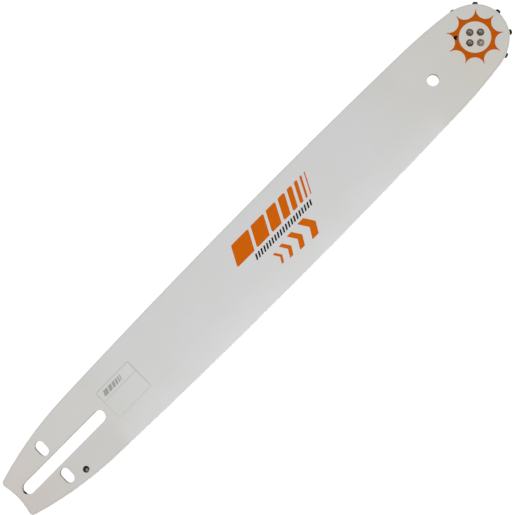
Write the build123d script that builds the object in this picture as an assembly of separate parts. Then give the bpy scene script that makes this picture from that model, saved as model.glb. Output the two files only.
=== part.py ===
from build123d import *
import math
import os

# Chainsaw guide bar, laminated, with a roller-bearing nose sprocket.
# It lies flat: +X to the nose, +Z out of the front face, origin under the
# middle of its length, on the plane that the back face lies on.

# ---- driving dimensions, mm and degrees ----
face_t = 1.35            # each outer plate
core_t = 1.30            # middle plate, which is the width of the chain groove
groove_depth = 6.0       # from the rail down to the middle plate's edge
edge_chamfer = 0.20      # outer edges of the two faces
hole_chamfer = 0.15      # punched holes, at the two faces

nose_x = 196.42          # axis of the nose sprocket
nose_r = 22.02           # rail radius round the nose
# The upper rail as arcs that run into each other, from the nose tip back to
# the tail: radius and turn of each. The lower rail mirrors it.
rail_arcs = [
    (nose_r, 52.335),
    (31.04, 29.898),
    (350.1, 6.264),
    (5144.6, 3.474),
    (250.5, 14.19),
]
tail_x = -218.75         # middle of the hollow tail end
tail_hollow_r = 46.7     # the hollow's radius
tail_corner_r = 3.0      # the two tail corners

slot_x0, slot_x1 = -213.70, -141.18   # stud slot, end to end
slot_w = 8.4

adjuster_x = -186.15     # two oblong holes for the tensioner pin
adjuster_y = 11.95
adjuster_w = 6.6
adjuster_len = 10.9

oil_x, oil_y, oil_r = -174.65, 17.80, 2.15   # one in each face, on opposite sides

hang_x, hang_r = 158.05, 4.00  # hole near the nose

teeth = 9
tooth_turn = 3.9         # angle of the first tooth from +X
tip_r = 23.74
tip_w = 2.5              # tooth width at its tip
rim_w = 4.2              # tooth width where it leaves the rails
root_r = 16.8
tip_round = 0.9
sprocket_t = 1.20
pocket_r = 24.8          # room for the sprocket in the middle plate

bore_r = 12.14           # sprocket bore, the outer roller track
race_r = 9.58            # inner race, the inner roller track
roller_r = 1.25
roller_len = 1.20
roller_pitch_r = (bore_r + race_r) / 2
rollers = 27

rivet_pitch_r = 4.80
rivet_head_r = 2.43
rivet_r = 1.65
rivet_gap = 0.01
rivet_dish_r, rivet_dish_depth = 1.25, 0.18
grease_r, grease_pitch_r, grease_turn = 1.42, 12.25, 134.7

total_t = 2 * face_t + core_t
mid_z = total_t / 2


def rail(inset):
    """Upper rail as (start, middle, end) points of its arcs, moved inwards."""
    x, y, h = nose_x + nose_r, 0.0, math.radians(90)
    spans = []
    for r, turn in rail_arcs:
        a = math.radians(turn)
        cx, cy = x - r * math.sin(h), y + r * math.cos(h)
        pts = [
            (cx + (r - inset) * math.sin(h + k * a), cy - (r - inset) * math.cos(h + k * a))
            for k in (0, 0.5, 1)
        ]
        spans.append(pts)
        x, y, h = cx + r * math.sin(h + a), cy - r * math.cos(h + a), h + a
    return spans, (cx, cy, r, h)


def mirrored(p):
    return (p[0], -p[1])


def outline(inset, back_x):
    """Face inside both rails. It runs on past the tail, to back_x."""
    spans, (cx, cy, r, h) = rail(inset)
    edges = []
    for a, b, c in spans:
        edges.append(ThreePointArc(a, b, c))
        edges.append(ThreePointArc(mirrored(a), mirrored(b), mirrored(c)))
    # the last arc carries on at the same radius to the tail
    r_in = r - inset
    turn = math.acos((cx - back_x) / r_in) if abs(cx - back_x) < r_in else 0
    end_h = math.pi * 1.5 - turn  # heading where the arc crosses back_x
    def at(k):
        hh = h + (end_h - h) * k
        return (cx + r_in * math.sin(hh), cy - r_in * math.cos(hh))
    a, b, c = at(0), at(0.5), at(1)
    edges.append(ThreePointArc(a, b, c))
    edges.append(ThreePointArc(mirrored(a), mirrored(b), mirrored(c)))
    edges.append(Line(c, mirrored(c)))
    return make_face(edges)


def disc(x, y, r):
    return Pos(x, y) * Circle(r)


def slot_hole():
    return Pos((slot_x0 + slot_x1) / 2, 0) * SlotOverall(slot_x1 - slot_x0, slot_w)


def adjuster_hole(side):
    return Pos(adjuster_x, side * adjuster_y) * Rot(0, 0, 90) * SlotOverall(adjuster_len, adjuster_w)


def polar(r, deg):
    a = math.radians(deg)
    return (nose_x + r * math.cos(a), r * math.sin(a))


rivet_at = [polar(rivet_pitch_r, 90 * k) for k in range(4)]
grease_at = polar(grease_pitch_r, grease_turn)

# ---- outlines ----
tail_hollow = disc(tail_x - tail_hollow_r, 0, tail_hollow_r)
full = outline(0, -224.0) - tail_hollow
corners = [v for v in full.vertices() if v.X < tail_x - 0.5 and abs(v.Y) > 13 and v.X > -223]
full = fillet(corners, tail_corner_r)

through = [slot_hole(), adjuster_hole(1), adjuster_hole(-1), disc(hang_x, 0, hang_r)]


def plate_2d(shape, holes):
    for hole in holes:
        shape = shape - hole
    return shape


# ---- outer plates ----
def side_plate(front):
    """An outer plate. Its face lies at z = total_t in front and at z = 0 behind."""
    side = -1 if front else 1
    oil = disc(oil_x, side * oil_y, oil_r)
    grease = disc(*grease_at, grease_r)
    z0 = total_t - face_t if front else 0
    z_face = total_t if front else 0
    blank = Pos(0, 0, z0) * extrude(full, face_t)
    rim = blank.faces().filter_by(Axis.Z).sort_by(Axis.Z)[-1 if front else 0]
    blank = chamfer(rim.outer_wire().edges(), edge_chamfer)
    out = 1 if front else -1
    cutters = []
    for hole in through + [oil, grease]:
        cutters.append(Pos(0, 0, z0 - 1) * extrude(hole, face_t + 2))
    for hole in through + [oil]:
        wide = offset(hole, hole_chamfer + 0.2)
        cutters.append(Pos(0, 0, z_face + out * 0.2) * extrude(wide, -out * (hole_chamfer + 0.2), taper=45))
    for x, y in rivet_at:
        cutters.append(Pos(x, y, z0 + face_t / 2) * Cylinder(rivet_r + rivet_gap, face_t + 2))
        cutters.append(rivet_cone(x, y, front, 0.2))
    for c in cutters:
        blank = blank - c
    return blank


def rivet_cone(x, y, front, over):
    """Countersink of 45 degrees. It runs past the face by over."""
    depth = rivet_head_r - rivet_r - rivet_gap
    h = depth + over
    body = Cone(rivet_r + rivet_gap, rivet_head_r + over, h)
    if front:
        return Pos(x, y, total_t - depth + h / 2) * body
    return Pos(x, y, depth - h / 2) * Rot(180, 0, 0) * body


# ---- middle plate ----
def core_plate():
    shape = outline(groove_depth, -224.0) & full
    notches = [disc(oil_x, oil_y, oil_r), disc(oil_x, -oil_y, oil_r), disc(nose_x, 0, pocket_r)]
    shape = plate_2d(shape, through + notches)
    pieces = sorted(shape.faces(), key=lambda f: f.area)
    return Pos(0, 0, face_t) * extrude(pieces[-1], core_t)


# ---- sprocket ----
def sprocket():
    """Star of teeth with wedge-shaped gullets, each ending in a round root."""
    half = math.radians(180 / teeth)
    # flank of the tooth, seen from the middle line of the gullet beside it
    a_rim = half - math.asin(rim_w / 2 / nose_r)
    a_tip = half - math.asin(tip_w / 2 / tip_r)
    p_rim = (nose_r * math.cos(a_rim), nose_r * math.sin(a_rim))
    p_tip = (tip_r * math.cos(a_tip), tip_r * math.sin(a_tip))
    slope = math.atan2(p_tip[1] - p_rim[1], p_tip[0] - p_rim[0])
    apex = p_rim[0] - p_rim[1] / math.tan(slope)
    gap = root_r - apex
    d = gap / (1 - math.sin(slope))
    r_g = d * math.sin(slope)
    touch = (apex + d * math.cos(slope) ** 2, d * math.cos(slope) * math.sin(slope))
    far = (apex + 20 * math.cos(slope), 20 * math.sin(slope))
    gullet = make_face([
        ThreePointArc((touch[0], -touch[1]), (root_r, 0), touch),
        Line(touch, far),
        Line(far, (far[0], -far[1])),
        Line((far[0], -far[1]), (touch[0], -touch[1])),
    ])
    shape = Circle(tip_r)
    for k in range(teeth):
        shape = shape - Rot(0, 0, (k + 0.5) * 360 / teeth) * gullet
    tips = [v for v in shape.vertices() if math.hypot(v.X, v.Y) > tip_r - 0.05]
    shape = fillet(tips, tip_round)
    shape = shape - Circle(bore_r)
    body = extrude(shape, sprocket_t)
    return Pos(nose_x, 0, mid_z - sprocket_t / 2) * Rot(0, 0, tooth_turn) * body


# ---- bearing ----
def inner_race():
    body = Pos(nose_x, 0, mid_z) * Cylinder(race_r, core_t)
    rims = body.edges().filter_by(GeomType.CIRCLE)
    body = chamfer(rims, 0.05)
    for x, y in rivet_at:
        body = body - Pos(x, y, mid_z) * Cylinder(rivet_r + rivet_gap, core_t + 2)
    return body


def roller(k):
    x, y = polar(roller_pitch_r, 360 / rollers * k)
    body = Pos(x, y, mid_z) * Cylinder(roller_r, roller_len)
    return chamfer(body.edges().filter_by(GeomType.CIRCLE), 0.08)


# ---- rivets ----
def rivet(x, y):
    """Flush rivet with a coned head in each face and a shallow dish from the tool."""
    depth = rivet_head_r - rivet_r - rivet_gap
    body = Pos(x, y, mid_z) * Cylinder(rivet_r, total_t)
    body = body + Pos(x, y, total_t - depth / 2) * Cone(rivet_r + rivet_gap, rivet_head_r, depth)
    body = body + Pos(x, y, depth / 2) * Rot(180, 0, 0) * Cone(rivet_r + rivet_gap, rivet_head_r, depth)
    dish = Cone(rivet_dish_r * 0.55, rivet_dish_r, rivet_dish_depth)
    body = body - Pos(x, y, total_t - rivet_dish_depth / 2) * dish
    body = body - Pos(x, y, rivet_dish_depth / 2) * Rot(180, 0, 0) * dish
    return body


parts = {
    "side_plate_front": side_plate(True),
    "core_plate": core_plate(),
    "side_plate_back": side_plate(False),
    "nose_sprocket": sprocket(),
    "bearing_inner_race": inner_race(),
}
for k in range(rollers):
    parts["bearing_roller_%02d" % (k + 1)] = roller(k)
for k, (x, y) in enumerate(rivet_at):
    parts["nose_rivet_%d" % (k + 1)] = rivet(x, y)

os.makedirs("parts", exist_ok=True)
for name, body in parts.items():
    solids = body.solids()
    export_step(solids[0] if len(solids) == 1 else Compound(children=list(solids)), "parts/%s.step" % name)

boxes = [p.bounding_box() for p in parts.values()]
print("x", min(b.min.X for b in boxes), max(b.max.X for b in boxes))
print("y", min(b.min.Y for b in boxes), max(b.max.Y for b in boxes))
print("z", min(b.min.Z for b in boxes), max(b.max.Z for b in boxes))
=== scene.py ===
import math

import bpy
import bmesh
import numpy as np
from mathutils import Matrix, Vector
from mathutils.geometry import tessellate_polygon


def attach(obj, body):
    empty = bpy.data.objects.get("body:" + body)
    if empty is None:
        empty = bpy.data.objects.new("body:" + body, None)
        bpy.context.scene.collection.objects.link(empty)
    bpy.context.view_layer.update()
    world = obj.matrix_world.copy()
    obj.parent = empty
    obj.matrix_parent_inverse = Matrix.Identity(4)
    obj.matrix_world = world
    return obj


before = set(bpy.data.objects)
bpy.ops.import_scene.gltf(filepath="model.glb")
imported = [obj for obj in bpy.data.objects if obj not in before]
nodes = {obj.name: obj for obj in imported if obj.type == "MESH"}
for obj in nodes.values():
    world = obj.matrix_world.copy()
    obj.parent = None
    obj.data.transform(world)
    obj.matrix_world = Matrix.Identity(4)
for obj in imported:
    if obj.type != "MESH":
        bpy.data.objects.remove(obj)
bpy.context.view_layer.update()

MM = 0.001
TOP = 4.0           # the front face, mm
NOSE = (196.42, 0.0)
PORT = (NOSE[0] + 12.25 * math.cos(math.radians(134.7)), 12.25 * math.sin(math.radians(134.7)))   # grease port
# the upper rail as arcs from the nose tip back to the tail, radius in mm and turn in degrees; the lower rail mirrors it
RAIL_ARCS = [(22.02, 52.335), (31.04, 29.898), (350.1, 6.264), (5144.6, 3.474), (250.5, 14.19)]
TAIL_HOLLOW = (-265.45, 46.7)   # centre on the axis, and radius, mm
scene = bpy.context.scene


# ------------------------------------------------------------------ helpers
def srgb(r, g, b):
    out = []
    for c in (r, g, b):
        c = c / 255.0
        out.append(c / 12.92 if c <= 0.04045 else ((c + 0.055) / 1.055) ** 2.4)
    return (*out, 1.0)


class Nodes:
    """Short calls for building one material's node tree."""

    def __init__(self, name):
        self.mat = bpy.data.materials.new(name)
        self.mat.use_nodes = True
        self.tree = self.mat.node_tree
        self.tree.nodes.clear()
        self.out = self.tree.nodes.new("ShaderNodeOutputMaterial")
        self.bsdf = self.tree.nodes.new("ShaderNodeBsdfPrincipled")
        self.link(self.bsdf.outputs[0], self.out.inputs[0])

    def link(self, a, b):
        self.tree.links.new(a, b)

    def put(self, socket, value):
        if isinstance(value, bpy.types.NodeSocket):
            self.link(value, socket)
        else:
            socket.default_value = value

    def coords(self):
        return self.tree.nodes.new("ShaderNodeTexCoord").outputs["Object"]

    def normal(self):
        return self.tree.nodes.new("ShaderNodeNewGeometry").outputs["True Normal"]

    def math(self, op, a, b=0.0, c=0.0, clamp=False):
        n = self.tree.nodes.new("ShaderNodeMath")
        n.operation = op
        n.use_clamp = clamp
        self.put(n.inputs[0], a)
        self.put(n.inputs[1], b)
        self.put(n.inputs[2], c)
        return n.outputs[0]

    def vmath(self, op, a, b=(0, 0, 0)):
        n = self.tree.nodes.new("ShaderNodeVectorMath")
        n.operation = op
        self.put(n.inputs[0], a)
        self.put(n.inputs[1], b)
        return n.outputs["Value"] if op in ("LENGTH", "DISTANCE", "DOT_PRODUCT") else n.outputs[0]

    def split(self, v):
        n = self.tree.nodes.new("ShaderNodeSeparateXYZ")
        self.put(n.inputs[0], v)
        return n.outputs

    def join(self, x, y, z):
        n = self.tree.nodes.new("ShaderNodeCombineXYZ")
        for s, v in zip(n.inputs, (x, y, z)):
            self.put(s, v)
        return n.outputs[0]

    def noise(self, v, scale, detail=3.0, rough=0.5, distortion=0.0):
        n = self.tree.nodes.new("ShaderNodeTexNoise")
        self.put(n.inputs["Vector"], v)
        n.inputs["Scale"].default_value = scale
        n.inputs["Detail"].default_value = detail
        n.inputs["Roughness"].default_value = rough
        n.inputs["Distortion"].default_value = distortion
        return n.outputs["Fac"]

    def voronoi(self, v, scale, feature="F1", out="Distance"):
        n = self.tree.nodes.new("ShaderNodeTexVoronoi")
        n.feature = feature
        self.put(n.inputs["Vector"], v)
        n.inputs["Scale"].default_value = scale
        return n.outputs[out]

    def ramp(self, x, lo, hi, a=0.0, b=1.0, smooth=True):
        n = self.tree.nodes.new("ShaderNodeMapRange")
        n.interpolation_type = "SMOOTHSTEP" if smooth else "LINEAR"
        n.clamp = True
        for s, v in zip(n.inputs, (x, lo, hi, a, b)):
            self.put(s, v)
        return n.outputs[0]

    def mix(self, f, a, b):
        n = self.tree.nodes.new("ShaderNodeMix")
        n.data_type = "RGBA"
        self.put(n.inputs["Factor"], f)
        self.put(n.inputs[6], a)
        self.put(n.inputs[7], b)
        return n.outputs[2]

    def mixf(self, f, a, b):
        n = self.tree.nodes.new("ShaderNodeMix")
        n.data_type = "FLOAT"
        self.put(n.inputs[0], f)
        self.put(n.inputs[2], a)
        self.put(n.inputs[3], b)
        return n.outputs[0]

    def bump(self, height, strength, distance, under=None):
        n = self.tree.nodes.new("ShaderNodeBump")
        n.inputs["Strength"].default_value = strength
        n.inputs["Distance"].default_value = distance
        self.put(n.inputs["Height"], height)
        if under is not None:
            self.link(under, n.inputs["Normal"])
        return n.outputs[0]

    def stretched(self, v, sx, sy, sz):
        return self.vmath("MULTIPLY", v, (sx, sy, sz))

    def finish(self, color, metallic, rough, normal=None, coat=0.0, coat_rough=0.3, specular=0.5):
        b = self.bsdf
        self.put(b.inputs["Base Color"], color)
        self.put(b.inputs["Metallic"], metallic)
        self.put(b.inputs["Roughness"], rough)
        b.inputs["Specular IOR Level"].default_value = specular
        b.inputs["Coat Weight"].default_value = coat
        b.inputs["Coat Roughness"].default_value = coat_rough
        if normal is not None:
            self.link(normal, b.inputs["Normal"])
        return self.mat


# ------------------------------------------------------------------ materials
def from_edge(n, x, y):
    """Distance inside the nearer rail or the tail's hollow."""
    circles, px, py, h = [], NOSE[0] + RAIL_ARCS[0][0], 0.0, math.radians(90)
    for r, turn in RAIL_ARCS:
        a = math.radians(turn)
        cx, cy = px - r * math.sin(h), py + r * math.cos(h)
        px, py, h = cx + r * math.sin(h + a), cy - r * math.cos(h + a), h + a
        circles.append((cx, cy, r, px))
    at = n.join(x, n.math("ABSOLUTE", y), 0.0)
    d = None
    for cx, cy, r, x_end in reversed(circles):
        one = n.math("SUBTRACT", r * MM, n.vmath("DISTANCE", at, (cx * MM, cy * MM, 0.0)))
        d = one if d is None else n.mixf(n.math("GREATER_THAN", x, x_end * MM), d, one)
    hollow = n.math("SUBTRACT", n.vmath("DISTANCE", at, (TAIL_HOLLOW[0] * MM, 0.0, 0.0)), TAIL_HOLLOW[1] * MM)
    return n.math("MINIMUM", d, hollow)


def slot_end_mask(n, x, y, wall):
    """Mask of the black patch on the end wall of the stud slot that is nearer to the tail."""
    m = n.math("MULTIPLY", n.ramp(x, -0.21310, -0.21285, 1.0, 0.0), n.ramp(x, -0.2150, -0.2148))
    m = n.math("MULTIPLY", m, n.ramp(n.math("ABSOLUTE", n.math("ADD", y, 0.0002)), 0.0009, 0.0014, 1.0, 0.0))
    return n.math("MULTIPLY", m, wall)


def plate_material(name, face_z):
    """Light grey paint on the outer face. Rails, hole walls and the inner face are bare steel."""
    n = Nodes(name)
    v = n.coords()
    x, y, z = n.split(v)[:3]
    nz = n.split(n.normal())[2]
    up = 1.0 if face_z > 2 else -1.0
    oil_at = (-0.17465, -0.0178 * up)
    flat = n.join(x, y, 0.0)
    # upright walls, the outer face, and the face that lies on the middle plate
    wall = n.ramp(n.math("ABSOLUTE", nz), 0.25, 0.45, 1.0, 0.0)
    inner = n.ramp(n.math("MULTIPLY", nz, -up), 0.5, 0.9)
    # the paint rolls over the chamfer and stops at an uneven line just below it
    depth = n.math("MULTIPLY", n.math("SUBTRACT", face_z * MM, z), up)
    ragged = n.math("MULTIPLY", n.math("SUBTRACT", n.noise(v, 800.0, 3.0), 0.5), 0.00030)
    lap = n.ramp(n.math("ADD", depth, ragged), 0.00022, 0.00032, 1.0, 0.0)
    painted = n.math("MULTIPLY", lap, n.math("SUBTRACT", 1.0, inner))

    # paint: satin lacquer with fine orange peel over faint grinding lines that run along the bar
    peel = n.noise(v, 1500.0, 2.0, 0.55)
    fine = n.noise(v, 5200.0, 2.0, 0.6)
    cloud = n.noise(v, 26.0, 4.0, 0.55, 0.3)
    brush = n.noise(n.stretched(v, 26.0, 1500.0, 1.0), 1.0, 3.0, 0.6)
    rub = n.ramp(n.noise(n.stretched(v, 14.0, 420.0, 1.0), 1.0, 5.0, 0.65), 0.60, 0.74)
    # painted shade: neutral in the middle, a little warmer and darker towards both ends
    to_tail = n.ramp(x, -0.150, -0.105, 1.0, 0.0)
    at_tail = n.ramp(x, -0.215, -0.165, 1.0, 0.0)
    to_nose = n.ramp(x, 0.105, 0.145)
    at_nose = n.ramp(x, 0.145, 0.185)
    base = n.mix(to_tail, srgb(206.6, 206.4, 206.4), srgb(203.5, 202.2, 197.6))
    base = n.mix(at_tail, base, srgb(204.6, 196.8, 192.0))
    base = n.mix(to_nose, base, srgb(204.5, 203, 198.5))
    base = n.mix(at_nose, base, srgb(204.2, 201.2, 193))
    # painted light and shade: lighter towards the lower rail along the body; at both ends the upper side is painted
    # lighter and the lower side darker
    ax = n.math("ABSOLUTE", x)
    ends = n.ramp(ax, 0.137, 0.149)
    nose_side = n.math("GREATER_THAN", x, 0.0)
    low = n.math("MULTIPLY", n.ramp(y, -0.027, -0.009, 0.52, 0.0, smooth=False), n.math("SUBTRACT", 1.0, ends))
    base = n.mix(low, base, srgb(217, 217, 217))
    shade = n.math("MULTIPLY", n.ramp(y, -0.010, 0.004, 0.28, 0.0), n.math("MULTIPLY", ends, n.mixf(nose_side, 1.0, 0.3)))
    base = n.mix(shade, base, srgb(190, 188, 183))
    light = n.math("MULTIPLY", n.ramp(y, 0.001, 0.013, 0.0, 0.17), n.math("MULTIPLY", ends, n.mixf(nose_side, 1.0, 1.2)))
    base = n.mix(light, base, srgb(215, 213, 211))
    # a faint darker line just inside the edges, stronger on the upper side and at the ends
    inset = from_edge(n, x, y)
    line = n.math("MULTIPLY", n.ramp(inset, 0.0003, 0.0006), n.ramp(inset, 0.0010, 0.0015, 1.0, 0.0))
    strong = n.mixf(n.math("LESS_THAN", y, 0.0), 0.10, n.math("MULTIPLY_ADD", ends, 0.19, 0.03))
    base = n.mix(n.math("MULTIPLY", line, strong), base, srgb(160, 158, 154))
    base = n.mix(n.math("MULTIPLY", n.ramp(cloud, 0.3, 0.7), 0.30), base, srgb(200, 200, 198))
    base = n.mix(n.math("MULTIPLY", n.ramp(brush, 0.35, 0.75), 0.10), base, srgb(186, 186, 185))
    base = n.mix(n.math("MULTIPLY", n.ramp(fine, 0.40, 0.75), 0.09), base, srgb(182, 182, 181))
    base = n.mix(n.math("MULTIPLY", rub, 0.12), base, srgb(222, 222, 220))
    # thin paint on the corner of the chamfer lets a little steel show
    thin = n.ramp(n.math("ADD", n.noise(v, 420.0, 4.0, 0.65), n.math("MULTIPLY", n.ramp(depth, 0.00004, 0.00020), 0.16)), 0.66, 0.74)
    thin = n.math("MULTIPLY", thin, n.ramp(depth, 0.00003, 0.00010))
    base = n.mix(n.math("MULTIPLY", thin, 0.6), base, srgb(150, 148, 144))
    # painted shade on the chamfer of the upper rail, darker than the face, and a painted highlight on the chamfer of
    # the lower rail
    bevel = n.math("MULTIPLY", n.ramp(depth, 0.00001, 0.00006), n.ramp(inset, 0.0004, 0.0006, 1.0, 0.0))
    base = n.mix(n.math("MULTIPLY", bevel, n.ramp(y, -0.002, 0.002, 0.0, 0.5)), base, srgb(160, 158, 154))
    base = n.mix(n.math("MULTIPLY", bevel, n.ramp(y, -0.002, 0.002, 0.6, 0.0)), base, srgb(244, 243, 241))
    paint_rough = n.mixf(rub, n.ramp(peel, 0.3, 0.7, 0.40, 0.50), 0.34)

    # bare steel: grinding lines round the rail; the punched walls are darker, partly punched steel and partly painted
    # shade in the holes
    lines = n.noise(n.stretched(v, 60.0, 60.0, 9000.0), 1.0, 3.0, 0.6)
    cross = n.noise(n.stretched(v, 3500.0, 3500.0, 250.0), 1.0, 2.0, 0.6)
    stain = n.noise(v, 160.0, 3.0, 0.6)
    ay = n.math("ABSOLUTE", y)
    rail = n.math("MAXIMUM", n.ramp(ay, 0.0182, 0.0188), n.ramp(x, 0.2055, 0.2065))
    rail = n.math("MAXIMUM", rail, n.math("MULTIPLY", n.ramp(x, -0.1960, -0.1950, 1.0, 0.0), n.ramp(ay, 0.0132, 0.0138)))
    ground = n.mix(n.ramp(lines, 0.3, 0.7), srgb(188, 187, 185), srgb(232, 231, 229))
    # painted highlight: the lower rail is brighter than the upper one
    lower_rail_lit = n.math("MULTIPLY", rail, n.ramp(y, -0.002, 0.002, 1.0, 0.0))
    ground = n.mix(lower_rail_lit, ground, n.mix(n.ramp(lines, 0.3, 0.7), srgb(240, 239, 238), srgb(253, 252, 251)))
    punched = n.mix(n.ramp(lines, 0.3, 0.7), srgb(88, 87, 85), srgb(136, 135, 133))
    # the walls are lighter near the back face
    punched = n.mix(n.ramp(z, 0.0004, 0.0011, 0.50, 0.0), punched, srgb(236, 235, 232))
    # painted highlight on the outer end of the upper hole and painted shade on its side
    upper = n.ramp(n.vmath("DISTANCE", flat, (-0.18615, 0.01195, 0.0)), 0.0062, 0.0066, 1.0, 0.0)
    upper_hole_highlight = n.math("MULTIPLY", upper, n.ramp(y, 0.0152, 0.0162))
    punched = n.mix(upper_hole_highlight, punched, srgb(226, 226, 224))
    punched = n.mix(n.math("MULTIPLY", upper, n.math("MULTIPLY", n.ramp(y, 0.0150, 0.0160, 0.7, 0.0), n.ramp(y, 0.0085, 0.0100))), punched, srgb(58, 56, 52))
    # a dark patch on the wall beside the slot end
    smear = n.math("MULTIPLY", n.ramp(x, -0.2115, -0.2090, 1.0, 0.0), n.math("MULTIPLY", n.ramp(y, 0.0006, 0.0012), n.ramp(ay, 0.0036, 0.0042, 1.0, 0.0)))
    smear = n.math("MULTIPLY", smear, n.ramp(z, 0.0006, 0.0010))
    punched = n.mix(n.math("MULTIPLY", smear, 0.80), punched, srgb(44, 42, 38))
    steel = n.mix(rail, punched, ground)
    steel = n.mix(n.math("MULTIPLY", n.ramp(stain, 0.45, 0.75), n.mixf(lower_rail_lit, 0.45, 0.12)), steel, srgb(108, 102, 95))
    # the inner face is darker, with rolling marks and old oil
    film_ = n.noise(v, 90.0, 4.0, 0.6, 0.5)
    dull = n.mix(n.ramp(brush, 0.3, 0.7), srgb(84, 82, 79), srgb(118, 116, 112))
    dull = n.mix(n.math("MULTIPLY", n.ramp(film_, 0.42, 0.7), 0.6), dull, srgb(62, 55, 46))
    steel = n.mix(inner, steel, dull)
    # oil grime and painted shade in the oil port, and a black patch on the end wall of the stud slot
    port = n.ramp(n.vmath("DISTANCE", flat, (oil_at[0], oil_at[1], 0.0)), 0.0022, 0.0027, 1.0, 0.0)
    port = n.math("MULTIPLY", port, n.math("MAXIMUM", wall, inner))
    steel = n.mix(n.math("MULTIPLY", port, n.ramp(stain, 0.2, 0.7, 1.0, 0.85)), steel, srgb(46, 45, 40))
    # painted light and shade: the face at the bottom of the other plate's port has a painted pool of light, darker
    # towards its rim
    far = n.vmath("DISTANCE", flat, (oil_at[0], -oil_at[1], 0.0))
    pool = n.math("MULTIPLY", n.ramp(far, 0.0030, 0.0055, 1.0, 0.0), inner)
    pool_light = n.ramp(n.vmath("DISTANCE", flat, (oil_at[0] - 0.00050, -0.00062 - oil_at[1], 0.0)), 0.0006, 0.0017, 1.0, 0.0)
    pool_light = n.math("MULTIPLY", pool_light, n.ramp(stain, 0.25, 0.7, 1.0, 0.8))
    steel = n.mix(pool, steel, n.mix(pool_light, srgb(54, 53, 49), srgb(196, 195, 187)))
    # thick black grease in the grease port
    well = n.ramp(n.vmath("DISTANCE", flat, (PORT[0] * MM, PORT[1] * MM, 0.0)), 0.0016, 0.0022, 1.0, 0.0)
    well = n.math("MULTIPLY", well, n.math("MAXIMUM", wall, inner))
    steel = n.mix(well, steel, srgb(15, 13, 11))
    slot_end_dark = slot_end_mask(n, x, y, n.ramp(n.math("ABSOLUTE", nz), 0.80, 0.95, 1.0, 0.0))
    slot_end_dark = n.math("MULTIPLY", slot_end_dark, n.ramp(z, 0.0004, 0.0008))
    steel = n.mix(n.math("MULTIPLY", slot_end_dark, 0.97), steel, srgb(14, 13, 12))
    painted = n.math("MULTIPLY", painted, n.math("SUBTRACT", 1.0, n.math("MAXIMUM", slot_end_dark, n.math("MULTIPLY", well, wall))))
    # mask of the oil grime, the painted shade and pool of light, the slot end's black patch and the grease, made rough
    # and dull
    grime_and_shade = n.math("MAXIMUM", n.math("MAXIMUM", port, slot_end_dark), n.math("MAXIMUM", pool, well))
    steel_rough = n.mixf(grime_and_shade, n.ramp(cross, 0.3, 0.7, 0.30, 0.48), 0.85)

    bare = n.math("SUBTRACT", 1.0, painted)
    color = n.mix(painted, steel, base)
    metal = n.math("MULTIPLY", bare, n.ramp(grime_and_shade, 0.0, 1.0, 1.0, 0.35))
    rough = n.mixf(painted, steel_rough, paint_rough)
    scratch = n.math("ADD", n.math("MULTIPLY", lines, 0.7), n.math("MULTIPLY", cross, 0.3))
    height = n.mixf(painted, scratch, n.math("ADD", peel, n.math("MULTIPLY", brush, 0.25)))
    nor = n.bump(height, 0.20, 0.00004)
    return n.finish(color, metal, rough, nor, coat=0.0, specular=0.40)


def core_material():
    n = Nodes("core_steel")
    v = n.coords()
    lines = n.noise(n.stretched(v, 40.0, 40.0, 7000.0), 1.0, 3.0, 0.6)
    oil = n.noise(v, 120.0, 4.0, 0.55, 0.4)
    scale = n.noise(v, 900.0, 3.0, 0.6)
    c = n.mix(n.ramp(lines, 0.3, 0.7), srgb(92, 91, 90), srgb(140, 139, 137))
    c = n.mix(n.math("MULTIPLY", n.ramp(oil, 0.45, 0.7), 0.6), c, srgb(70, 62, 52))
    c = n.mix(n.math("MULTIPLY", n.ramp(scale, 0.55, 0.8), 0.25), c, srgb(60, 58, 58))
    x, y, z = n.split(v)[:3]
    wall = n.ramp(n.math("ABSOLUTE", n.split(n.normal())[2]), 0.80, 0.95, 1.0, 0.0)
    slot_end_dark = slot_end_mask(n, x, y, wall)
    # oil grime and painted shade on the walls of the middle plate at the oil ports
    port = n.ramp(n.vmath("DISTANCE", n.join(x, n.math("ABSOLUTE", y), 0.0), (-0.17465, 0.0178, 0.0)), 0.0030, 0.0036, 1.0, 0.0)
    c = n.mix(port, c, srgb(44, 43, 38))
    c = n.mix(slot_end_dark, c, srgb(14, 13, 12))
    grime_and_shade = n.math("MAXIMUM", slot_end_dark, port)
    return n.finish(c, n.ramp(grime_and_shade, 0.0, 1.0, 0.9, 0.1), n.mixf(grime_and_shade, n.ramp(oil, 0.3, 0.7, 0.34, 0.52), 0.85), n.bump(lines, 0.2, 0.00004))


def sprocket_material():
    """Black oxide, rubbed brighter where the chain runs, on the tips and flanks."""
    n = Nodes("sprocket_black_oxide")
    v = n.coords()
    x, y, z = n.split(v)[:3]
    r = n.vmath("DISTANCE", n.join(x, y, 0.0), (NOSE[0] * MM, NOSE[1] * MM, 0.0))
    spots = n.noise(v, 1500.0, 3.0, 0.6)
    cloud = n.noise(v, 300.0, 3.0, 0.55)
    tip = n.ramp(n.math("ADD", r, n.math("MULTIPLY", n.math("SUBTRACT", spots, 0.5), 0.0012)), 0.0229, 0.0234)
    wall = n.ramp(n.math("ABSOLUTE", n.split(n.normal())[2]), 0.3, 0.8, 1.0, 0.0)
    c = n.mix(n.ramp(cloud, 0.3, 0.7), srgb(20, 19, 19), srgb(36, 33, 32))
    worn = n.math("MULTIPLY", n.math("MULTIPLY", tip, wall), n.ramp(spots, 0.42, 0.66, 0.1, 0.75))
    c = n.mix(worn, c, srgb(120, 114, 108))
    return n.finish(c, n.ramp(worn, 0.0, 1.0, 0.55, 0.95), n.ramp(spots, 0.3, 0.7, 0.28, 0.44), n.bump(spots, 0.25, 0.00003))


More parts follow.
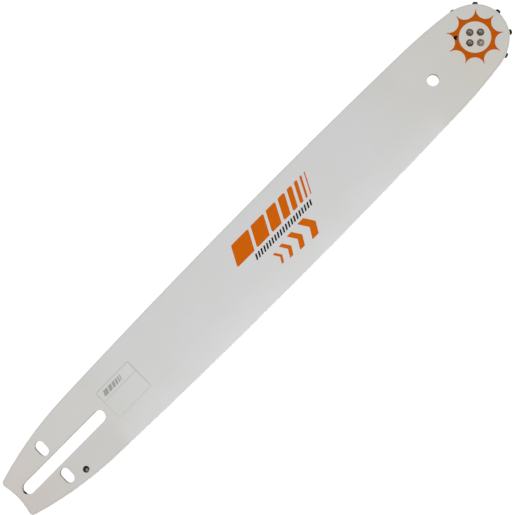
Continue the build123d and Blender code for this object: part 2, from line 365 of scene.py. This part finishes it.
def bearing_material():
    """Ground steel with grease on it, black and thick under the grease port and wiped off beside it."""
    n = Nodes("bearing_steel_greased")
    v = n.coords()
    x, y, z = n.split(v)[:3]
    grease = n.noise(v, 420.0, 3.0, 0.5, 0.6)
    rings = n.noise(n.stretched(v, 200.0, 200.0, 12000.0), 1.0, 2.0, 0.5)
    hole = n.vmath("DISTANCE", n.join(x, y, 0.0), ((PORT[0] - 0.27) * MM, (PORT[1] + 0.54) * MM, 0.0))
    wiped = n.math("MULTIPLY", n.ramp(grease, 0.46, 0.62), n.ramp(hole, 0.0022, 0.0028))
    wet = n.math("MAXIMUM", wiped, n.ramp(hole, 0.0012, 0.0016, 1.0, 0.0))
    c = n.mix(n.ramp(rings, 0.3, 0.7), srgb(150, 150, 151), srgb(196, 196, 196))
    c = n.mix(n.math("MULTIPLY", wet, 0.97), c, srgb(30, 25, 19))
    m = n.ramp(wet, 0.0, 1.0, 1.0, 0.0)
    return n.finish(c, m, n.ramp(wet, 0.0, 1.0, 0.18, 0.30), n.bump(grease, 0.15, 0.00006))


def rivet_material(k, x, y, light):
    """Pressed rivet head, brown with heat: blotchy, darker at the rim as painted shade, a painted highlight in the
    dish, concentric tool marks.
    """
    n = Nodes("rivet_head_%d" % k)
    v = n.coords()
    px, py, pz = n.split(v)[:3]
    flat = n.join(px, py, 0.0)
    r = n.vmath("DISTANCE", flat, (x * MM, y * MM, 0.0))
    wob = n.noise(v, 1300.0, 3.0, 0.6)
    rr = n.math("ADD", r, n.math("MULTIPLY", n.math("SUBTRACT", wob, 0.5), 0.0011))
    dish = n.ramp(rr, 0.0002, 0.0011, 1.0, 0.0) if light else n.ramp(rr, 0.0009, 0.0014, 1.0, 0.0)
    rim = n.ramp(rr, 0.0019, 0.0024)
    tool = n.math("SINE", n.math("MULTIPLY", r, 2 * math.pi / 0.00022))
    smear = n.noise(v, 2600.0, 3.0, 0.65)
    blot = n.noise(v, 1700.0, 2.0, 0.5, 0.4)
    # painted shade and light: one side of each head is darker, the other lighter
    side_shade = n.math("ADD", n.math("MULTIPLY", n.math("SUBTRACT", px, x * MM), 0.85), n.math("MULTIPLY", n.math("SUBTRACT", py, y * MM), 0.50))
    side_shade = n.ramp(n.math("ADD", side_shade, n.math("MULTIPLY", n.math("SUBTRACT", wob, 0.5), 0.0016)), -0.0013, 0.0012)
    if light:
        ring, mid, dark, pale = srgb(148, 129, 112), srgb(232, 216, 199), srgb(96, 76, 60), srgb(206, 194, 180)
        edge = n.mix(side_shade, srgb(112, 95, 81), srgb(138, 119, 102))
    else:
        dark, pale = srgb(56, 44, 36), srgb(172, 155, 141)
        mid = n.mix(n.ramp(rr, 0.0002, 0.0007), srgb(122, 106, 95), n.mix(side_shade, srgb(150, 133, 120), srgb(170, 152, 138)))
        ring = n.mix(side_shade, srgb(68, 55, 46), srgb(107, 90, 77))
        edge = n.mix(side_shade, srgb(77, 62, 52), srgb(119, 101, 87))
    c = n.mix(dish, ring, mid)
    c = n.mix(rim, c, edge)
    c = n.mix(n.ramp(smear, 0.48, 0.66, 0.0, 0.55), c, dark)
    c = n.mix(n.ramp(blot, 0.52, 0.68, 0.0, 0.60), c, pale)
    if light:
        for dx, dy, wide, much, tone in ((0.85, 1.00, 0.00085, 0.80, (66, 52, 38)), (-0.42, 0.72, 0.00070, 0.70, (76, 58, 50))):
            mark = n.vmath("DISTANCE", flat, ((x + dx) * MM, (y + dy) * MM, 0.0))
            mark = n.math("ADD", mark, n.math("MULTIPLY", n.math("SUBTRACT", smear, 0.5), 0.0007))
            c = n.mix(n.ramp(mark, 0.0003, wide, much, 0.0), c, srgb(*tone))
    height = n.math("ADD", n.math("MULTIPLY", tool, 0.25), n.math("MULTIPLY", smear, 0.8))
    return n.finish(c, n.ramp(dish, 0.0, 1.0, 0.45, 0.80), n.ramp(wob, 0.3, 0.7, 0.32, 0.50), n.bump(height, 0.35, 0.00005))


def slot_end_material():
    """Black and crumbly."""
    n = Nodes("dried_grime")
    v = n.coords()
    lump = n.noise(v, 2200.0, 4.0, 0.6)
    c = n.mix(n.ramp(lump, 0.35, 0.7), srgb(12, 11, 10), srgb(30, 26, 22))
    return n.finish(c, 0.0, n.ramp(lump, 0.3, 0.7, 0.75, 0.95), n.bump(lump, 0.5, 0.00008), specular=0.10)


def grease_material():
    """Black grease in the grease ports, wet, with a painted highlight at the side towards the rivets."""
    n = Nodes("port_grease_black")
    v = n.coords()
    x, y, z = n.split(v)[:3]
    lump = n.noise(v, 900.0, 4.0, 0.6, 0.5)
    grit = n.noise(v, 4200.0, 3.0, 0.6)
    c = n.mix(n.ramp(lump, 0.3, 0.7), srgb(5, 4, 3), srgb(14, 11, 9))
    # painted highlight on the grease at the side towards the rivets
    near = n.vmath("DISTANCE", n.join(x, y, 0.0), ((PORT[0] + 0.62) * MM, (PORT[1] - 1.14) * MM, 0.0))
    near = n.math("ADD", near, n.math("MULTIPLY", n.math("SUBTRACT", lump, 0.5), 0.0005))
    pale = n.ramp(near, 0.00050, 0.00085, 1.0, 0.0)
    c = n.mix(n.math("MULTIPLY", pale, n.ramp(grit, 0.2, 0.6, 0.8, 1.0)), c, srgb(160, 152, 155))
    bump = n.bump(n.math("ADD", lump, n.math("MULTIPLY", grit, 0.2)), 0.35, 0.00012)
    return n.finish(c, 0.0, n.ramp(lump, 0.3, 0.7, 0.30, 0.50), bump, specular=0.08)


def ink_material(name, rgb, rub=0.25, fade=None):
    """Screen-printed ink: slightly uneven, with pinholes. fade is a colour that it wears to at the lower left."""
    n = Nodes(name)
    v = n.coords()
    mott = n.noise(v, 800.0, 3.0, 0.6)
    mesh_ = n.noise(v, 4200.0, 2.0, 0.6)
    streak = n.noise(n.stretched(v, 30.0, 700.0, 1.0), 1.0, 4.0, 0.6)
    lo = tuple(max(0, c * 0.965) for c in rgb)
    hi = tuple(min(255, c * 1.025) for c in rgb)
    c = n.mix(n.ramp(mott, 0.3, 0.7), srgb(*lo), srgb(*hi))
    c = n.mix(n.math("MULTIPLY", n.ramp(streak, 0.62, 0.76), rub), c, srgb(*(min(255, k * 0.8 + 44) for k in rgb)))
    if fade:
        x, y, z = n.split(v)[:3]
        worn = n.ramp(n.math("ADD", y, n.math("MULTIPLY", n.math("ADD", x, 0.122), 0.55)), -0.012, 0.012, 0.75, 0.0)
        worn = n.math("ADD", worn, n.math("MULTIPLY", n.math("SUBTRACT", n.noise(v, 300.0, 4.0, 0.6), 0.5), 0.7), clamp=True)
        c = n.mix(worn, c, srgb(*fade))
    return n.finish(c, 0.0, n.ramp(mesh_, 0.3, 0.7, 0.42, 0.56), n.bump(mesh_, 0.18, 0.00002), specular=0.04)


# ------------------------------------------------------------------ flat prints
def arc(cx, cy, r, a0, a1, n):
    return [(cx + r * math.cos(math.radians(a0 + (a1 - a0) * i / n)), cy + r * math.sin(math.radians(a0 + (a1 - a0) * i / n))) for i in range(n + 1)]


def circle(cx, cy, r, n=64):
    return arc(cx, cy, r, 0, 360, n)[:-1]


def rounded(pts, r, n=5):
    """A convex or concave polygon with each corner rounded."""
    out = []
    m = len(pts)
    for i in range(m):
        p, a, b = Vector(pts[i]), Vector(pts[i - 1]), Vector(pts[(i + 1) % m])
        u, w = (a - p).normalized(), (b - p).normalized()
        half = math.acos(max(-1, min(1, u.dot(w)))) / 2
        t = min(r / math.tan(half), (a - p).length * 0.45, (b - p).length * 0.45)
        rr = t * math.tan(half)
        c = p + (u + w).normalized() * (rr / math.sin(half))
        s, e = p + u * t, p + w * t
        a0 = math.atan2(s.y - c.y, s.x - c.x)
        a1 = math.atan2(e.y - c.y, e.x - c.x)
        d = (a1 - a0 + math.pi) % (2 * math.pi) - math.pi
        out += [(c.x + rr * math.cos(a0 + d * k / n), c.y + rr * math.sin(a0 + d * k / n)) for k in range(n + 1)]
    return out


def area(loop):
    return sum(a[0] * b[1] - b[0] * a[1] for a, b in zip(loop, loop[1:] + loop[:1])) / 2


def film(name, shapes, mat, low=TOP - 0.020, high=TOP + 0.020):
    """Closed thin film on the front face. shapes is a list of [outer, hole, ...] loops in mm."""
    bm = bmesh.new()
    for loops in shapes:
        loops = [l if (area(l) > 0) == (i == 0) else l[::-1] for i, l in enumerate(loops)]
        flat = [p for l in loops for p in l]
        tris = tessellate_polygon([[Vector((x, y, 0)) for x, y in l] for l in loops])
        lo = [bm.verts.new((x * MM, y * MM, low * MM)) for x, y in flat]
        hi = [bm.verts.new((x * MM, y * MM, high * MM)) for x, y in flat]
        for t in tris:
            p = [flat[i] for i in t]
            if area(p) < 0:
                t = t[::-1]
            bm.faces.new([hi[i] for i in t])
            bm.faces.new([lo[i] for i in t[::-1]])
        at = 0
        for l in loops:
            k = len(l)
            for i in range(k):
                a, b = at + i, at + (i + 1) % k
                bm.faces.new([lo[a], lo[b], hi[b], hi[a]])
            at += k
    me = bpy.data.meshes.new(name)
    bm.to_mesh(me)
    bm.free()
    me.materials.append(mat)
    ob = bpy.data.objects.new(name, me)
    scene.collection.objects.link(ob)
    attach(ob, "bar")
    return ob


def slanted(x, y0, y1, w, side_shade):
    """Bar of width w leaning by lean degrees, its lower left corner at x."""
    d = (y1 - y0) * math.tan(math.radians(side_shade))
    return [(x, y0), (x + w, y0), (x + w + d, y1), (x + d, y1)]


orange = ink_material("ink_orange", (200, 94, 3), 0.12)
ring_orange = ink_material("ink_orange_ring", (186, 85, 3), 0.10)
black = ink_material("ink_black", (15, 14, 14), 0.10)
grey_ink = ink_material("ink_grey", (165, 165, 164), 0.1, fade=(202, 202, 201))
dark_grey_ink = ink_material("ink_dark_grey", (157, 157, 156), 0.1)

# ring of nine points over the sprocket
ring_in, ring_root, ring_tip, first = 10.25, 12.95, 18.15, 4.4
RING = (NOSE[0] + 0.13, 0.24)
# the print is a little uneven: each point's reach and turn, and each bite's depth and shift
POINTS = ((0.10, 0.0), (-0.20, -1.5), (-0.20, 0.6), (0.0, 1.2), (0.20, 0.0), (-0.25, 0.0), (0.0, -1.2), (0.0, 0.6), (-0.15, 0.0))
BITES = ((0.13, -0.10), (-0.42, 0.0), (-0.20, 0.20), (0.10, 0.10), (-0.04, 0.05), (0.26, -0.15), (-0.38, -0.12), (-0.10, 0.10), (-0.12, -0.05))
outer = []
for k in range(9):
    (da, ta), (db, tb), (deep, shift) = POINTS[k], POINTS[(k + 1) % 9], BITES[k]
    mid = math.radians(first + 20 + 40 * k)
    a, b = math.radians(first + 0.7 + 40 * k + ta), math.radians(first - 0.7 + 40 * (k + 1) + tb)
    root = ring_root + deep
    p = Vector(((ring_tip + da) * math.cos(a), (ring_tip + da) * math.sin(a)))
    q = Vector(((ring_tip + db) * math.cos(b), (ring_tip + db) * math.sin(b)))
    m = Vector((root * math.cos(mid) - shift * math.sin(mid), root * math.sin(mid) + shift * math.cos(mid)))
    # the circle through the two points and the bite's deepest place
    u, w = m - p, q - p
    d = 2 * (u.x * w.y - u.y * w.x)
    c = p + Vector((w.y * u.dot(u) - u.y * w.dot(w), u.x * w.dot(w) - w.x * u.dot(u))) / d
    s0, s1 = math.atan2(p.y - c.y, p.x - c.x), math.atan2(q.y - c.y, q.x - c.x)
    # from the first point to the second, clockwise past the deepest place
    turn = (s1 - s0) % (2 * math.pi) - 2 * math.pi
    for i in range(19):
        s = s0 + turn * i / 18
        outer.append((RING[0] + c.x + (p - c).length * math.cos(s), RING[1] + c.y + (p - c).length * math.sin(s)))
film("print_sprocket_ring", [[outer, circle(RING[0], RING[1], ring_in, 96), circle(PORT[0], PORT[1], 1.42, 32)]], ring_orange)

# fading bars, hatch line and chevrons in the middle
bars, x = [], -15.25
for w in (15.5, 11.5, 8.5, 6.0, 4.2, 2.8, 1.7, 0.9):
    bars.append([rounded(slanted(x, 4.3, 17.4, w, 28), min(0.8, w * 0.35))])
    x += w + 2.3
film("print_bars", bars, orange)
film("print_hatch", [[rounded(slanted(-3.25 + 2.45 * i, -1.3, 2.3, 1.25, 28), 0.15, 3)] for i in range(21)], black)
chev = []
for i, (w, h) in enumerate(((2.0, 4.2), (3.0, 5.2), (4.2, 6.2), (5.6, 7.0))):
    cx, cy, a = (6.25, 12.75, 20.95, 31.25)[i], -10.2, h * 0.62
    chev.append([rounded([(cx, cy + h), (cx + w, cy + h), (cx + w + a, cy), (cx + w, cy - h), (cx, cy - h), (cx + a, cy)], 0.3, 4)])
film("print_chevrons", chev, orange)

# thin outlined panel near the tail, printed a little askew, with a ruled head and a small echo of the bars


def askew(loop, deg=0.45, at=(-122.1, 1.15)):
    ca, sa = math.cos(math.radians(deg)), math.sin(math.radians(deg))
    return [(at[0] + (x - at[0]) * ca - (y - at[1]) * sa, at[1] + (x - at[0]) * sa + (y - at[1]) * ca) for x, y in loop]


def frame_loops(x0, x1, y0, y1, w, r):
    box = [(x0, y0), (x1, y0), (x1, y1), (x0, y1)]
    hole = [(x0 + w, y0 + w), (x1 - w, y0 + w), (x1 - w, y1 - 0.7 * w), (x0 + w, y1 - 0.7 * w)]
    return [askew(rounded(box, r, 4)), askew(rounded(hole, max(r - w, 0.1), 4))]


film("print_panel", [
    frame_loops(-136.75, -107.45, -9.95, 12.35, 0.44, 0.7),
    [askew([(-136.2, 4.08), (-108.0, 4.08), (-108.0, 4.33), (-136.2, 4.33)])],
], grey_ink)
small, x = [], -133.6
for w in (3.6, 2.7, 2.0, 1.45, 1.0, 0.65):
    small.append([askew(rounded(slanted(x, 6.35, 10.0, w, 22), min(0.25, w * 0.3), 4))])
    x += w + 0.75
film("print_small_bars", small, dark_grey_ink)

# a black lump on the end wall of the stud slot: thick in the middle, run out to nothing at both sides
SLOT_END = (-209.50, 4.20)      # middle and radius of the slot's round end
bm = bmesh.new()
rows = []
levels, steps = 12, 22
for j in range(levels + 1):
    z = 0.65 + (3.90 - 0.65) * j / levels
    end = min(1.0, 4.0 * min(j, levels - j) / levels)
    row = []
    for i in range(steps + 1):
        t = i / steps
        a = math.radians(180 - 11 + 32 * t)
        thick = 0.50 * math.sin(math.pi * t ** 1.3) ** 0.7 * (0.45 + 0.55 * end)
        thick *= 1 + 0.16 * math.sin(7.1 * t + 1.9 * j) + 0.10 * math.sin(19.0 * t - 0.8 * j)
        row.append([(SLOT_END[0] + q * math.cos(a), q * math.sin(a)) for q in (SLOT_END[1] + 0.03, SLOT_END[1] - max(thick, 0.01))])
    rows.append((z, row))
wall_v = [[bm.verts.new((p[0][0] * MM, p[0][1] * MM, z * MM)) for p in row] for z, row in rows]
skin_v = [[bm.verts.new((p[1][0] * MM, p[1][1] * MM, z * MM)) for p in row] for z, row in rows]
for j in range(levels):
    for i in range(steps):
        bm.faces.new([skin_v[j][i], skin_v[j + 1][i], skin_v[j + 1][i + 1], skin_v[j][i + 1]])
        bm.faces.new([wall_v[j][i], wall_v[j][i + 1], wall_v[j + 1][i + 1], wall_v[j + 1][i]])
    bm.faces.new([wall_v[j][0], wall_v[j + 1][0], skin_v[j + 1][0], skin_v[j][0]])
    bm.faces.new([wall_v[j][steps], skin_v[j][steps], skin_v[j + 1][steps], wall_v[j + 1][steps]])
for i in range(steps):
    bm.faces.new([wall_v[0][i], skin_v[0][i], skin_v[0][i + 1], wall_v[0][i + 1]])
    bm.faces.new([wall_v[levels][i], wall_v[levels][i + 1], skin_v[levels][i + 1], skin_v[levels][i]])
bmesh.ops.recalc_face_normals(bm, faces=bm.faces)
me = bpy.data.meshes.new("slot_residue")
bm.to_mesh(me)
bm.free()
me.materials.append(slot_end_material())
slot_end_piece = bpy.data.objects.new("slot_residue", me)
scene.collection.objects.link(slot_end_piece)
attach(slot_end_piece, "bar")

# grease in both grease ports, sunk in the middle
port_grease = grease_material()
for side in ("front", "back"):
    low, high, steps = 2.80, 3.45, 48
    reach = (0.22, 0.44, 0.64, 0.80, 0.92, 1.0)
    bm = bmesh.new()

    def put(r, a, z):
        z = z if side == "front" else TOP - z
        return bm.verts.new(((PORT[0] + r * math.cos(a)) * MM, (PORT[1] + r * math.sin(a)) * MM, z * MM))

    def skin(q, a):
        return high - 0.30 * (1 - q * q) + 0.05 * q * math.sin(3 * a + 0.7) + 0.03 * q * math.sin(7 * a)

    top = [[put(1.40 * q, 2 * math.pi * i / steps, skin(q, 2 * math.pi * i / steps)) for i in range(steps)] for q in reach]
    under = [[put(1.40 * q, 2 * math.pi * i / steps, low + 0.10 * (1 - q * q)) for i in range(steps)] for q in reach]
    for rings, pole in ((top, put(0, 0, skin(0, 0))), (under, put(0, 0, low + 0.10))):
        for i in range(steps):
            k = (i + 1) % steps
            bm.faces.new([pole, rings[0][i], rings[0][k]])
            for a, b in zip(rings, rings[1:]):
                bm.faces.new([a[i], b[i], b[k], a[k]])
    for i in range(steps):
        k = (i + 1) % steps
        bm.faces.new([top[-1][i], under[-1][i], under[-1][k], top[-1][k]])
    bmesh.ops.recalc_face_normals(bm, faces=bm.faces)
    me = bpy.data.meshes.new("port_grease_" + side)
    bm.to_mesh(me)
    bm.free()
    for poly in me.polygons:
        poly.use_smooth = True
    me.materials.append(port_grease)
    plug = bpy.data.objects.new("port_grease_" + side, me)
    scene.collection.objects.link(plug)
    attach(plug, "bar")


def paint(node, mat):
    me = nodes[node].data
    if me.materials:
        for i in range(len(me.materials)):
            me.materials[i] = mat
    else:
        me.materials.append(mat)


paint("side_plate_front", plate_material("paint_front", TOP))
paint("side_plate_back", plate_material("paint_back", 0.0))
paint("core_plate", core_material())
paint("nose_sprocket", sprocket_material())
bearing = bearing_material()
paint("bearing_inner_race", bearing)
for k in range(27):
    paint("bearing_roller_%02d" % (k + 1), bearing)
for k in range(4):
    a = math.radians(90 * k)
    paint("nose_rivet_%d" % (k + 1), rivet_material(k + 1, NOSE[0] + 4.80 * math.cos(a), 4.80 * math.sin(a), k == 3))

# ------------------------------------------------------------------ floor, light, camera
fm = Nodes("floor_white")
fv = fm.coords()
fm.finish(fm.mix(fm.ramp(fm.noise(fv, 3.0, 2.0), 0.3, 0.7), (0.17, 0.17, 0.17, 1), (0.19, 0.19, 0.19, 1)), 0.0, 0.95, specular=0.0)
fm.bsdf.inputs["Emission Color"].default_value = (1, 1, 1, 1)
fm.bsdf.inputs["Emission Strength"].default_value = 0.97
me = bpy.data.meshes.new("floor")
s = 6.0
me.from_pydata([(-s, -s, -0.00002), (s, -s, -0.00002), (s, s, -0.00002), (-s, s, -0.00002)], [], [(0, 1, 2, 3)])
me.materials.append(fm.mat)
floor = bpy.data.objects.new("floor", me)
scene.collection.objects.link(floor)


def area_light(name, at, look, size, power, color=(1, 1, 1)):
    d = bpy.data.lights.new(name, "AREA")
    d.shape = "RECTANGLE"
    d.size, d.size_y = size
    d.energy = power
    d.color = color
    o = bpy.data.objects.new(name, d)
    o.location = at
    o.rotation_mode = "QUATERNION"
    o.rotation_quaternion = (Vector(look) - Vector(at)).to_track_quat("-Z", "Y")
    scene.collection.objects.link(o)
    return o


area_light("key", (0.0, -0.50, 0.60), (0, 0, 0), (0.6, 0.4), 4.45)
area_light("fill", (-0.4, 1.2, 1.5), (0, 0, 0), (1.4, 1.2), 12.9)

# pale all round, paler at the horizon than overhead
world = bpy.data.worlds.new("studio")
world.use_nodes = True
wt = world.node_tree
sky = wt.nodes["Background"]
sky.inputs[0].default_value = (1, 1, 1, 1)
around = wt.nodes.new("ShaderNodeTexCoord")
height = wt.nodes.new("ShaderNodeSeparateXYZ")
level = wt.nodes.new("ShaderNodeMapRange")
wt.links.new(around.outputs["Generated"], height.inputs[0])
wt.links.new(height.outputs[2], level.inputs["Value"])
for name, value in (("From Min", 0.04), ("From Max", 0.55), ("To Min", 1.0), ("To Max", 0.22)):
    level.inputs[name].default_value = value
wt.links.new(level.outputs[0], sky.inputs[1])
scene.world = world

# the camera looks along the photo's direction, rolled so that the bar lies on its diagonal
PX = 0.64                       # mm for one pixel at the front face
DIST = 1288.0 * PX              # mm
tilt, roll = math.radians(7.4), math.radians(45.25)
target = Vector((-1.658, -0.33 * PX, TOP)) * MM
back = Vector((0, -math.sin(tilt), math.cos(tilt)))
side = Vector((0, math.cos(tilt), math.sin(tilt)))
along = Vector((1, 0, 0))
right = along * math.cos(roll) - side * math.sin(roll)
upv = along * math.sin(roll) + side * math.cos(roll)
cam = bpy.data.objects.new("camera", bpy.data.cameras.new("camera"))
cam.data.sensor_width = 36.0
cam.data.lens = 36.0 * 1288.0 / 515.0
cam.data.clip_start, cam.data.clip_end = 0.01, 50.0
rot = Matrix((right, upv, back)).transposed()
cam.matrix_world = Matrix.Translation(target + back * DIST * MM) @ rot.to_4x4()
scene.collection.objects.link(cam)
scene.camera = cam
scene.view_settings.view_transform = "Standard"
scene.view_settings.look = "None"
